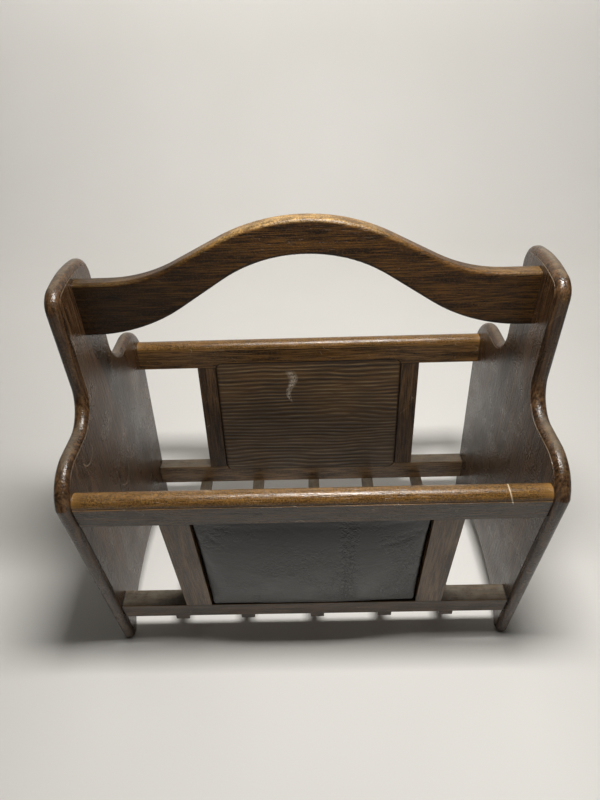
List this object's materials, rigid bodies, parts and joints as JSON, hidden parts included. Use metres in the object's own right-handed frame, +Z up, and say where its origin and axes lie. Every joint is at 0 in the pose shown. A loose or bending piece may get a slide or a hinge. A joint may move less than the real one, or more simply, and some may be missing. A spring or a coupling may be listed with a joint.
{
  "type": "magazine rack",
  "caption": "Free-standing wooden magazine rack with shaped end panels, leaning padded side frames, a bowed carrying handle and a slatted floor.",
  "frame": {"origin": "on the floor, midway between the four feet", "axes": "+X along the handle towards the right end panel, +Y towards the back frame, +Z up"},
  "size_m": [0.449, 0.2848, 0.4564],
  "materials": {
    "panel_wood": "dark walnut stain, satin varnish",
    "handle_wood": "dark walnut stain, satin varnish",
    "frame_wood": "dark walnut stain, satin varnish",
    "ribbed_board": "wire-brushed softwood ply, dark stain, satin varnish",
    "hardboard": "bare tempered hardboard",
    "foam": "open-cell upholstery foam",
    "leather": "black grained leather, soft sheen",
    "steel": "bright wire nail",
    "beech": "bare fluted dowel rod"
  },
  "bodies": {
    "root": {"left_end_panel": "panel_wood", "right_end_panel": "panel_wood", "handle": "handle_wood", "front_top_rail": "frame_wood", "front_lower_rail": "frame_wood", "front_left_stile": "frame_wood", "front_right_stile": "frame_wood", "front_inner_panel": "ribbed_board", "front_pad_board": "hardboard", "front_pad_foam": "foam", "front_pad_cover": "leather", "back_top_rail": "frame_wood", "back_lower_rail": "frame_wood", "back_left_stile": "frame_wood", "back_right_stile": "frame_wood", "back_inner_panel": "ribbed_board", "back_pad_board": "hardboard", "back_pad_foam": "foam", "back_pad_cover": "leather", "floor_slat_1": "frame_wood", "floor_slat_2": "frame_wood", "floor_slat_3": "frame_wood", "floor_slat_4": "frame_wood", "floor_slat_5": "frame_wood", "slat_nails": "steel", "rail_dowels": "beech", "stile_dowels": "beech", "handle_dowels": "beech"}
  },
  "joints": []
}
